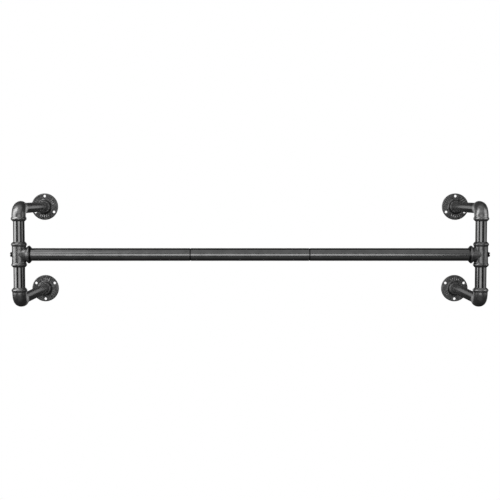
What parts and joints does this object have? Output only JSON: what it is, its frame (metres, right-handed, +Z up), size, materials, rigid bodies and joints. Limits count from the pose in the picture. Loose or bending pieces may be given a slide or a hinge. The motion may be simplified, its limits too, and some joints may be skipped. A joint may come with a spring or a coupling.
{
  "type": "curtain rod with brackets",
  "caption": "Wall-mounted curtain rod of screwed steel pipe: a sectioned rod turning in tees, held out from the wall by double-armed pipe brackets on round flanges.",
  "frame": {"origin": "the point of the wall's face that is level with the rod and half way between the two brackets", "axes": "+X along the rod to the right as seen from the room, +Y into the wall, +Z up"},
  "size_m": [1.1556, 0.3448, 0.2864],
  "materials": {
    "cast_fitting": "malleable iron castings with fine sand grain under satin black-grey powder coat",
    "pipe": "steel pipe, satin gunmetal-black coat",
    "rod_tube": "drawn steel tube, satin gunmetal-black coat",
    "end_screw": "black oxide steel",
    "plug": "turned bright steel"
  },
  "bodies": {
    "brackets": {"left_tee": "cast_fitting", "left_upper_flange": "cast_fitting", "left_upper_arm_pipe": "pipe", "left_upper_elbow": "cast_fitting", "left_upper_post_pipe": "pipe", "left_lower_flange": "cast_fitting", "left_lower_arm_pipe": "pipe", "left_lower_elbow": "cast_fitting", "left_lower_post_pipe": "pipe", "right_tee": "cast_fitting", "right_upper_flange": "cast_fitting", "right_upper_arm_pipe": "pipe", "right_upper_elbow": "cast_fitting", "right_upper_post_pipe": "pipe", "right_lower_flange": "cast_fitting", "right_lower_arm_pipe": "pipe", "right_lower_elbow": "cast_fitting", "right_lower_post_pipe": "pipe"},
    "rod": {"rod_left_tube": "rod_tube", "rod_middle_tube": "rod_tube", "rod_right_tube": "rod_tube", "rod_left_end_plug": "plug", "rod_right_end_plug": "plug", "rod_left_outer_join_plug": "plug", "rod_right_outer_join_plug": "plug", "rod_left_inner_join_plug": "plug", "rod_right_inner_join_plug": "plug", "rod_left_join_stud": "plug", "rod_right_join_stud": "plug"},
    "left_end_screw": {"left_end_screw": "end_screw"},
    "right_end_screw": {"right_end_screw": "end_screw"}
  },
  "joints": [
    {"name": "rod_turn", "type": "hinge", "parent": "brackets", "child": "rod", "pos_m": [0, -0.3238, 0], "axis": [1, 0, 0], "continuous": true},
    {"name": "left_screw_out", "type": "slide", "parent": "rod", "child": "left_end_screw", "axis": [-1, 0, 0], "range_m": [0, 0.012]},
    {"name": "right_screw_out", "type": "slide", "parent": "rod", "child": "right_end_screw", "axis": [1, 0, 0], "range_m": [0, 0.012]}
  ]
}
